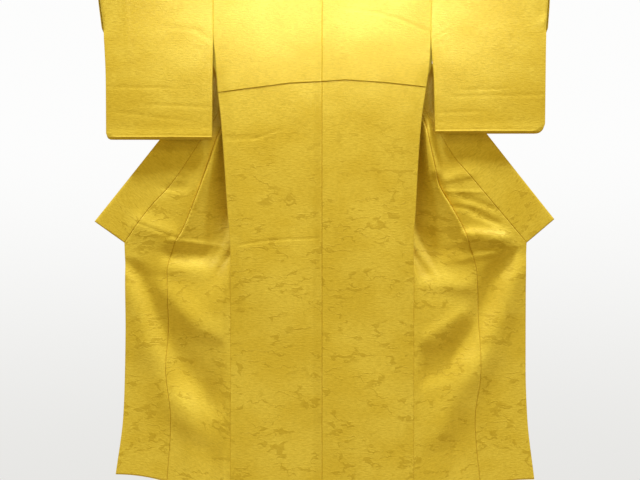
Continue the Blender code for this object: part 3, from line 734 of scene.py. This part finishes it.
def collar_stations(half):
    """Down one half of the collar, from the centre back to the tip."""
    stations = [Station(0.0, -FOLD_RADIUS, NECK_CLEARANCE / 2 - BACK_NECK_DROP, math.pi / 2,
                        COLLAR_WIDTH_AT_NECK, 0.0)]
    for z in reversed(down_to(NECK_FIRST_ROW, NECK_SPANS)):
        stations.append(neck_station(back_row(z, half), z - QUARTER_TURN, math.pi, half))
    for share in even(ROD_ARC_STEPS):
        angle = math.pi * (1 - share)
        run = (math.pi / 2 - angle) * FOLD_RADIUS
        stations.append(neck_station(rod_row(angle, half), run, angle, half))
    for z in FRONT_HEIGHTS:
        if z > FOLD_FORMED_BY:
            stations.append(neck_station(front_row(z, half), QUARTER_TURN - z, 0.0, half))
        elif z >= COLLAR_END:
            stations.append(front_station(z, half))
    stations.append(front_station(COLLAR_END, half))
    return stations


def width_to_outer_edge(x, z, lean, half):
    """How far the collar reaches from a place on its seam to its straight outer edge."""
    start, end = getattr(COLLAR_OUTER, half)
    along_x, along_z = end.x - start.x, end.z - start.z
    off = (start.x - x) * along_z - (start.z - z) * along_x
    return off / (math.cos(lean) * along_z - math.sin(lean) * along_x)


def front_station(z, half):
    x = at_height(COLLAR_SEAM, z, half) + SEAM_GAP
    lean = collar_slope(z, half)
    opening = (z - COLLAR_STARTS_TO_OPEN) / (COLLAR_OPENS_BY - COLLAR_STARTS_TO_OPEN)
    straight = smooth((z - STRAIGHT_FROM) / (STRAIGHT_BY - STRAIGHT_FROM))
    opened_width = mix(COLLAR_WIDTH, width_to_outer_edge(x, z, lean, half), straight)
    width = mix(COLLAR_WIDTH_AT_NECK, opened_width, smooth(opening))
    lies_flat = smooth((FOLD_FORMED_BY - z) / (FOLD_FORMED_BY - COLLAR_LIES_FLAT_BY))
    return Station(x, float(opened_y(x, z, half)), z, lean, width, lies_flat)


def collar_half(half, inset, end_height):
    """Rows of points across the collar, from the centre back to an end."""
    rows = []
    for station in collar_stations(half):
        if station.z < end_height - 1e-6:
            break
        width = station.width * (1 - inset)
        shares = seam_shares(COLLAR_STEPS, width, near_start=True)
        reach = station.width * inset + width * shares
        x = station.x + math.cos(station.lean) * reach
        z = station.z + math.sin(station.lean) * reach
        sway = np.array([opened_y(px, pz, half) for px, pz in zip(x, z)])
        sway = (sway - opened_y(station.x, station.z, half)) * station.lies_flat
        sewn = dip(width * shares, SEAM_DIP_WIDTH, SEAM_DIP)
        sewn = sewn + dip(width * (1 - shares), EDGE_ROLL_WIDTH, EDGE_ROLL)
        rows.append(points(half, x, station.y + sway + sewn * station.lies_flat, z))
    return rows


def collar_rows(inset, end_height):
    return collar_half("left", inset, end_height)[:0:-1] + collar_half("right", inset, end_height)


def moved_out(rows, distance):
    """A sheet's rows moved off its outer face, square to it."""
    grid = np.array(rows)
    down, across = np.gradient(grid, axis=0), np.gradient(grid, axis=1)
    normal = np.cross(down, across)
    return grid + normal / np.linalg.norm(normal, axis=2, keepdims=True) * distance


# Sleeves


def sleeve_heights(half):
    """Rows down a sleeve's side to its rounded corner, with how far each one's outer end is drawn in."""
    corner = getattr(SLEEVE_CORNER, half)
    bottom = getattr(SLEEVE_BOTTOM, half) + LAYER_OFFSET
    rows = [(z, 0.0) for z in down_to(FIRST_ROW, SLEEVE_SPANS)
            if z > bottom + corner + ROW_ABOVE_CORNER]
    for share in even(SLEEVE_CORNER_STEPS):
        angle = share * math.pi / 2
        rows.append((bottom + corner * (1 - math.sin(angle)), corner * (1 - math.cos(angle))))
    return rows


def sleeve_row(z, drawn_in, facing, half):
    inner = at_height(SLEEVE_INNER, z, half) + SEAM_GAP
    cuff_open = smooth((z + ARMHOLE_DEPTH) / CUFF_CLOSES_OVER)
    outer = at_height(SLEEVE_OUTER, z, half) - LAYER_OFFSET - drawn_in
    outer += cuff_open * (LAYER_OFFSET - (CUFF_STEP if facing < 0 else 0.0))
    width = outer - inner
    x = mix(inner, outer, seam_shares(SLEEVE_STEPS, width, near_start=True))
    settled = smooth(z / HANGS_FREELY_BY)
    relief = crease_depth("sleeve", half, x, z) * (1.0 if facing < 0 else -FAR_LAYER_SHARE)
    relief = relief + unevenness(x * SLEEVE_WAVES_CLOSER, z * facing)
    relief = relief + facing * SLEEVE_BELLY * np.sin(math.pi * (x - inner) / width)
    turned_in = dip(x - inner, SEAM_DIP_WIDTH, SEAM_DIP * smooth((z + ARMHOLE_DEPTH) / SEAM_ENDS_OVER))
    edge_roll = EDGE_ROLL * smooth((-ARMHOLE_DEPTH - z) / SEAM_ENDS_OVER)
    turned_in = turned_in + dip(x - inner, EDGE_ROLL_WIDTH, edge_roll)
    turned_in = turned_in + dip(outer - x, EDGE_ROLL_WIDTH, CUFF_ROLL * cuff_open)
    fixed = smooth((outer - x) / CUFF_SETTLES_OVER) if cuff_open < 1 else 1.0
    y = facing * (layer_offset(z) - turned_in) + relief * settled * fixed
    above_bottom = z - getattr(SLEEVE_BOTTOM, half) - LAYER_OFFSET
    if facing < 0:
        y = y - SLEEVE_LIP * smooth(1 - above_bottom / SLEEVE_LIP_WIDTH)
        return points(half, x, y, z)
    return points(half, x, y, z - SLEEVE_SAG * smooth(1 - above_bottom / SLEEVE_SAG_FROM))


def sleeve_grid(half):
    heights = sleeve_heights(half)
    rows = [sleeve_row(z, drawn_in, -1, half) for z, drawn_in in reversed(heights)]
    top_inner = at_height(SLEEVE_INNER, 0, half) + SEAM_GAP
    top_outer = at_height(SLEEVE_OUTER, 0, half)
    for share in even(ROD_ARC_STEPS):
        angle = math.pi * (1 - share)
        outer = top_outer - mix(CUFF_STEP, 0.0, share)
        shares = seam_shares(SLEEVE_STEPS, outer - top_inner, near_start=True)
        turned_in = dip(shares * (outer - top_inner), SEAM_DIP_WIDTH, SEAM_DIP)
        turned_in = turned_in + dip((1 - shares) * (outer - top_inner), EDGE_ROLL_WIDTH, EDGE_ROLL)
        radius = FOLD_RADIUS + SLEEVE_OVER_ROD - turned_in * TURNED_IN_OVER_ROD
        rows.append(points(half, mix(top_inner, outer, shares), radius * math.cos(angle),
                           radius * math.sin(angle)))
    rows += [sleeve_row(z, drawn_in, 1, half) for z, drawn_in in heights]
    return heights, np.array(rows)


def sleeve_strip(heights, grid, half):
    """The closed edge round both layers: down the outer side from the cuff and in along the bottom."""
    closed = [i for i, (z, _) in enumerate(heights) if z <= -ARMHOLE_DEPTH]
    last_row, last_column = len(grid) - 1, grid.shape[1] - 1
    route = [(len(heights) - 1 - i, last_column) for i in closed]
    route += [(0, column) for column in reversed(range(last_column))]
    near = np.array([grid[row, column] for row, column in route])
    far = np.array([grid[last_row - row, column] for row, column in route])
    along = np.gradient(near, axis=0)
    along /= np.linalg.norm(along, axis=1, keepdims=True)
    out = np.cross(along, (0.0, 1.0, 0.0)) * -sign_of(half)
    middle, reach = (near + far) / 2, (far - near) / 2
    size = np.linalg.norm(reach, axis=1, keepdims=True)
    angles = even(SLEEVE_TURN_STEPS)[1:-1] * math.pi
    turn = [middle + out * size * math.sin(angle) - reach * math.cos(angle) for angle in angles]
    return route, np.stack([near] + turn + [far], axis=1)


# Meshes


def grid_faces(rows, columns, first=0):
    index = first + np.arange(rows * columns).reshape(rows, columns)
    corners = (index[:-1, :-1], index[:-1, 1:], index[1:, 1:], index[1:, :-1])
    return np.stack(corners, axis=-1).reshape(-1, 4)


def grid_lengths(grid):
    """Each point's place in the flat cloth, in metres: along its row, and down one inner column."""
    steps = np.linalg.norm(np.diff(grid, axis=1), axis=2)
    across = np.concatenate((np.zeros((len(grid), 1)), np.cumsum(steps, axis=1)), axis=1)
    column = grid[:, grid.shape[1] // 3]
    down = np.concatenate(((0.0,), np.cumsum(np.linalg.norm(np.diff(column, axis=0), axis=1))))
    return across, np.repeat(down[:, None], grid.shape[1], axis=1)


def cloth(name, places, faces, flat, material):
    """A thin sheet with its flat cloth coordinates as UVs, which stands for the solid of the same name."""
    mesh = bpy.data.meshes.new(name)
    mesh.from_pydata(places.reshape(-1, 3).tolist(), [], faces.tolist())
    uv_layer = mesh.uv_layers.new(name="flat")
    corners = np.empty(len(mesh.loops), dtype=np.int32)
    mesh.loops.foreach_get("vertex_index", corners)
    uv_layer.data.foreach_set("uv", flat.reshape(-1, 2)[corners].astype(np.float32).ravel())
    mesh.update()
    mesh.shade_smooth()
    piece = bpy.data.objects.new(f"cloth_{name}", mesh)
    bpy.context.scene.collection.objects.link(piece)
    mesh.materials.append(material)
    wall = piece.modifiers.new("sheet", "SOLIDIFY")
    wall.thickness = SHEET
    wall.offset = 0.0
    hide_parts(name)
    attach(piece, "root")
    return piece


def sheet_of(name, rows, material, flat_start=(0.0, 0.0)):
    grid = np.array(rows)
    across, down = grid_lengths(grid)
    flat = np.stack((across + flat_start[0], down + flat_start[1]), axis=-1)
    return cloth(name, grid, grid_faces(*grid.shape[:2]), flat, material)


def make_sleeve(half, material):
    heights, grid = sleeve_grid(half)
    route, strip = sleeve_strip(heights, grid, half)
    across, down = grid_lengths(grid)
    flat = np.stack((across, down), axis=-1)
    columns = grid.shape[1]
    first = grid.shape[0] * columns
    inner_places = strip[:, 1:-1].reshape(-1, 3)
    index = np.empty(strip.shape[:2], dtype=int)
    index[:, 1:-1] = first + np.arange(len(inner_places)).reshape(len(strip), -1)
    index[:, 0] = [row * columns + column for row, column in route]
    index[:, -1] = [(len(grid) - 1 - row) * columns + column for row, column in route]
    closing = np.stack((index[:-1, :-1], index[:-1, 1:], index[1:, 1:], index[1:, :-1]), axis=-1)
    if half == "left":
        closing = closing[..., ::-1]
    edge_flat = np.repeat(flat.reshape(-1, 2)[index[:, 0]], strip.shape[1] - 2, axis=0)
    places = np.concatenate((grid.reshape(-1, 3), inner_places))
    faces = np.concatenate((grid_faces(*grid.shape[:2]), closing.reshape(-1, 4)))
    all_flat = np.concatenate((flat.reshape(-1, 2), edge_flat))
    return cloth(f"sleeve_{half}", places, faces, all_flat, material)


# Materials


def node(tree, kind, links=None, **values):
    """A shader node with its properties, its sockets' values and the sockets that feed it."""
    made = tree.nodes.new(kind)
    for name, value in values.items():
        setattr(made, name, value)
    for socket, value in (links or {}).items():
        if hasattr(value, "is_output"):
            tree.links.new(value, made.inputs[socket])
        else:
            made.inputs[socket].default_value = value
    return made


def new_material(name):
    material = bpy.data.materials.new(name)
    material.use_nodes = True
    return material, material.node_tree, material.node_tree.nodes["Principled BSDF"]


def math_node(tree, operation, a, b=0.0, clamp=False):
    return node(tree, "ShaderNodeMath", {0: a, 1: b}, operation=operation, use_clamp=clamp).outputs[0]


def mix_colour(tree, share, a, b, blend="MIX"):
    made = node(tree, "ShaderNodeMix", data_type="RGBA", blend_type=blend)
    for socket, value in ((0, share), (6, a), (7, b)):
        if hasattr(value, "is_output"):
            tree.links.new(value, made.inputs[socket])
        else:
            made.inputs[socket].default_value = value
    return made.outputs[2]


def noise(tree, vector, scale, detail=2.0, roughness=0.5, distortion=0.0):
    made = node(tree, "ShaderNodeTexNoise", {"Vector": vector, "Scale": scale, "Detail": detail,
                                             "Roughness": roughness, "Distortion": distortion})
    return made.outputs["Fac"]


def stretched(tree, vector, across, down, offset=0.0):
    return node(tree, "ShaderNodeMapping", {"Vector": vector, "Scale": (across, down, 1.0),
                                            "Location": (offset, offset, 0.0)}).outputs[0]


def ramp(tree, value, low, high):
    """0 below low and 1 above high, with a smooth rise."""
    return node(tree, "ShaderNodeMapRange", {"Value": value, "From Min": low, "From Max": high},
                interpolation_type="SMOOTHSTEP").outputs[0]


SILK = (0.700, 0.458, 0.027, 1.0)
SILK_DEEP = (0.470, 0.278, 0.006, 1.0)
SILK_PALE = (0.780, 0.535, 0.043, 1.0)


def warped(tree, vector, across, down, reach):
    """A vector moved about by slow noise, which makes even outlines ragged."""
    drift = node(tree, "ShaderNodeTexNoise", {"Vector": stretched(tree, vector, across, down), "Scale": 1.0,
                                              "Detail": 1.0}).outputs["Color"]
    centred = node(tree, "ShaderNodeVectorMath", {0: drift, 1: (0.5, 0.5, 0.5)}, operation="SUBTRACT")
    moved = node(tree, "ShaderNodeVectorMath", {0: centred.outputs[0], "Scale": reach}, operation="SCALE")
    return node(tree, "ShaderNodeVectorMath", {0: vector, 1: moved.outputs[0]}, operation="ADD").outputs[0]


def cloud_figure(tree, flat):
    """A woven figure of drifting mist: broken, lobed strokes that run mostly along the width."""
    level = noise(tree, stretched(tree, warped(tree, flat, 60.0, 70.0, 0.030), 9.0, 26.0), 1.0, detail=1.0)
    off_line = math_node(tree, "ABSOLUTE", math_node(tree, "SUBTRACT", level, 0.50))
    fullness = noise(tree, stretched(tree, flat, 34.0, 50.0, 5.0), 1.0, detail=1.0)
    half_width = math_node(tree, "SUBTRACT", math_node(tree, "MULTIPLY", fullness, 0.125), 0.043)
    stroke = ramp(tree, math_node(tree, "SUBTRACT", half_width, off_line), -0.008, 0.008)
    present = noise(tree, stretched(tree, flat, 9.0, 13.0, 3.7), 1.0, detail=1.0)
    return math_node(tree, "MULTIPLY", stroke, ramp(tree, present, 0.44, 0.54))


def painted_seam_shade(tree, parts):
    """Painted shade: below the tuck, a soft band beside the centre-back seam is painted a little darker,
    where a soft crease's shade falls.
    """
    across, height = parts.outputs["X"], parts.outputs["Z"]
    left, right = ramp(tree, across, -0.034, -0.020), ramp(tree, across, 0.000, -0.008)
    band = math_node(tree, "MULTIPLY", left, right)
    below_tuck = ramp(tree, height, -0.38, -0.42)
    return math_node(tree, "MULTIPLY", math_node(tree, "MULTIPLY", band, below_tuck), 0.16)


def silk_material():
    """Crepe silk with fine cross ribs and a self-coloured woven figure, painted stronger lower down where
    light shows it more, and a painted shade band beside the centre-back seam.
    """
    material, tree, shader = new_material("gold_silk_cloth")
    flat = node(tree, "ShaderNodeUVMap", uv_map="flat").outputs[0]
    place = node(tree, "ShaderNodeTexCoord").outputs["Object"]
    parts = node(tree, "ShaderNodeSeparateXYZ", {0: place})
    height = parts.outputs["Z"]
    # The woven figure is the cloth's own, but it is painted stronger lower down, where light shows it more:
    # partly pattern, partly painted light
    low = math_node(tree, "MULTIPLY", ramp(tree, height, -0.45, -0.80), 0.65)
    figure = math_node(tree, "MULTIPLY", cloud_figure(tree, flat), math_node(tree, "ADD", low, 0.35))
    tone = noise(tree, stretched(tree, flat, 5.0, 7.0, 9.1), 1.0, detail=4.0, roughness=0.6)
    grain = noise(tree, stretched(tree, flat, 70.0, 260.0), 1.0, detail=3.0, roughness=0.75)
    rib = noise(tree, stretched(tree, flat, 300.0, 1300.0), 1.0, detail=2.0, roughness=0.6)
    colour = mix_colour(tree, ramp(tree, tone, 0.36, 0.66), SILK, SILK_PALE)
    colour = mix_colour(tree, math_node(tree, "MULTIPLY", figure, 0.50), colour, SILK_DEEP)
    mottle = math_node(tree, "MULTIPLY", ramp(tree, grain, 0.36, 0.68), 0.42)
    colour = mix_colour(tree, mottle, colour, SILK_DEEP)
    # Painted shade: a soft darker band beside the centre-back seam, below the tuck
    colour = mix_colour(tree, painted_seam_shade(tree, parts), colour, SILK_DEEP)
    tree.links.new(colour, shader.inputs["Base Color"])
    roughness = math_node(tree, "ADD", math_node(tree, "MULTIPLY", figure, 0.08), 0.47)
    tree.links.new(roughness, shader.inputs["Roughness"])
    shader.inputs["Specular IOR Level"].default_value = 0.14
    shader.inputs["Sheen Weight"].default_value = 0.08
    shader.inputs["Sheen Roughness"].default_value = 0.40
    shader.inputs["Sheen Tint"].default_value = (1.0, 0.88, 0.40, 1.0)
    fine = node(tree, "ShaderNodeBump", {"Height": rib, "Strength": 0.45, "Distance": 0.0004})
    crepe = node(tree, "ShaderNodeBump", {"Height": grain, "Strength": 0.55, "Distance": 0.0014,
                                          "Normal": fine.outputs[0]})
    woven = node(tree, "ShaderNodeBump", {"Height": figure, "Strength": 0.5, "Distance": 0.0006,
                                          "Normal": crepe.outputs[0]})
    tree.links.new(woven.outputs[0], shader.inputs["Normal"])
    return material


WOOD = (0.42, 0.26, 0.13, 1.0)
WOOD_PALE = (0.60, 0.42, 0.24, 1.0)
WOOD_PORE = (0.30, 0.17, 0.08, 1.0)


def wood_material():
    """Planed light wood with grain along the rod."""
    material, tree, shader = new_material("rod_wood_grain")
    place = node(tree, "ShaderNodeTexCoord").outputs["Object"]
    along = stretched(tree, place, 2.2, 60.0)
    grain = noise(tree, along, 1.0, detail=5.0, roughness=0.6, distortion=0.6)
    fine = noise(tree, stretched(tree, place, 14.0, 420.0, 2.0), 1.0, detail=2.0)
    colour = mix_colour(tree, ramp(tree, grain, 0.35, 0.65), WOOD, WOOD_PALE)
    pores = math_node(tree, "MULTIPLY", ramp(tree, fine, 0.5, 0.8), 0.4)
    colour = mix_colour(tree, pores, colour, WOOD_PORE)
    tree.links.new(colour, shader.inputs["Base Color"])
    shader.inputs["Roughness"].default_value = 0.5
    bump = node(tree, "ShaderNodeBump", {"Height": fine, "Strength": 0.4, "Distance": 0.0004})
    tree.links.new(bump.outputs[0], shader.inputs["Normal"])
    return material


# The cloth pieces

Cut = namedtuple("Cut", "width length area")
silk = silk_material()
for half_name in ("left", "right"):
    sheet_of(f"body_{half_name}", body_rows(half_name), silk,
             (0.3 * (half_name == "left"), 0.0))
    sheet_of(f"okumi_{half_name}", okumi_rows(half_name), silk, (0.7, 0.4))
    make_sleeve(half_name, silk)
sheet_of("collar", collar_rows(0.0, COLLAR_END), silk, (1.3, 0.0))
over_collar_rows = moved_out(collar_rows(OVER_COLLAR_INSET, OVER_COLLAR_END), OVER_COLLAR_RISE)
sheet_of("over_collar", over_collar_rows, silk, (1.7, 0.5))
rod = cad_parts["rod"]
rod.material_slots[0].material = wood_material()

# Stage, lights and camera

FLOOR_HEIGHT = -1.95
WALL_LOW, WALL_HIGH = (0.80, 0.795, 0.775, 1.0), (0.98, 0.98, 0.975, 1.0)
ROOM_LOW, ROOM_HIGH = (0.495, 0.440, 0.210, 1.0), (0.535, 0.475, 0.230, 1.0)
PLAIN, PALE, COOL = (1.0, 1.0, 1.0), (0.483, 0.586, 1.0), (0.35, 0.45, 1.0)


def make_floor():
    bpy.ops.mesh.primitive_circle_add(vertices=96, radius=1.7, fill_type="NGON",
                                      location=(0, 0, FLOOR_HEIGHT))
    floor = bpy.context.object
    floor.name = "floor"
    material, tree, shader = new_material("floor_matte")
    shader.inputs["Base Color"].default_value = (0.30, 0.25, 0.14, 1.0)
    shader.inputs["Roughness"].default_value = 0.7
    floor.data.materials.append(material)


def make_world():
    """White behind the garment, and a dim olive on the viewer's side, which warms the shaded folds."""
    world = bpy.data.worlds.new("pale_room")
    bpy.context.scene.world = world
    world.use_nodes = True
    tree = world.node_tree
    direction = node(tree, "ShaderNodeTexCoord").outputs["Generated"]
    parts = node(tree, "ShaderNodeSeparateXYZ", {0: direction})
    behind = ramp(tree, parts.outputs["Y"], -0.1, 0.5)
    height = parts.outputs["Z"]
    wall = mix_colour(tree, ramp(tree, height, -0.24, 0.10), WALL_LOW, WALL_HIGH)
    room = mix_colour(tree, ramp(tree, height, -0.6, 0.8), ROOM_LOW, ROOM_HIGH)
    colour = mix_colour(tree, behind, room, wall)
    tree.links.new(colour, tree.nodes["Background"].inputs["Color"])


def make_ceiling_light(name, direction, spread, strength, colour):
    """Steep light from high up on one side, which shades the folds and throws the sleeves' shadows."""
    data = bpy.data.lights.new(name, "SUN")
    data.angle = spread
    data.energy = strength
    data.color = colour
    light = bpy.data.objects.new(name, data)
    light.rotation_euler = Vector(direction).to_track_quat("-Z", "Y").to_euler()
    bpy.context.scene.collection.objects.link(light)


def make_lamp(name, place, aim, size, power, spread, colour):
    data = bpy.data.lights.new(name, "AREA")
    data.shape = "RECTANGLE"
    data.size, data.size_y = size
    data.energy = power
    data.color = colour
    data.spread = spread
    light = bpy.data.objects.new(name, data)
    light.location = place
    light.rotation_euler = (Vector(aim) - Vector(place)).to_track_quat("-Z", "Y").to_euler()
    light.visible_camera = False
    bpy.context.scene.collection.objects.link(light)


def make_camera():
    """Level and square to the back, so that the garment's middle 1.9 m by 1.4 m fills the frame."""
    distance, view_width, sensor = 3.2, 1.91, 36.0
    data = bpy.data.cameras.new("camera")
    data.sensor_width = sensor
    data.lens = sensor * distance / view_width
    camera = bpy.data.objects.new("camera", data)
    camera.location = (-0.006, -distance, -0.848)
    camera.rotation_euler = (math.pi / 2, 0.0, 0.0)
    bpy.context.scene.collection.objects.link(camera)
    bpy.context.scene.camera = camera


make_floor()
make_world()
make_lamp("over_the_neck", (0.03, -0.55, 0.16), (0.03, 0, -0.20), (1.1, 0.20), 1.25, math.radians(150), PLAIN)
make_lamp("before_the_neck", (0.04, -0.95, 0.06), (0.04, 0, -0.06), (1.0, 0.15), 3.6, math.radians(50), COOL)
make_lamp("ceiling_middle", (0.0, -0.45, 1.20), (0.0, 0.0, -0.90), (0.5, 0.25), 12.0, math.pi, PLAIN)
make_ceiling_light("ceiling_left", (0.45, 0.233, -0.90), math.radians(7), 4.3, PALE)
make_ceiling_light("ceiling_right", (-0.45, 0.233, -0.90), math.radians(7), 4.3, PALE)
make_camera()
bpy.context.scene.view_settings.view_transform = "Standard"
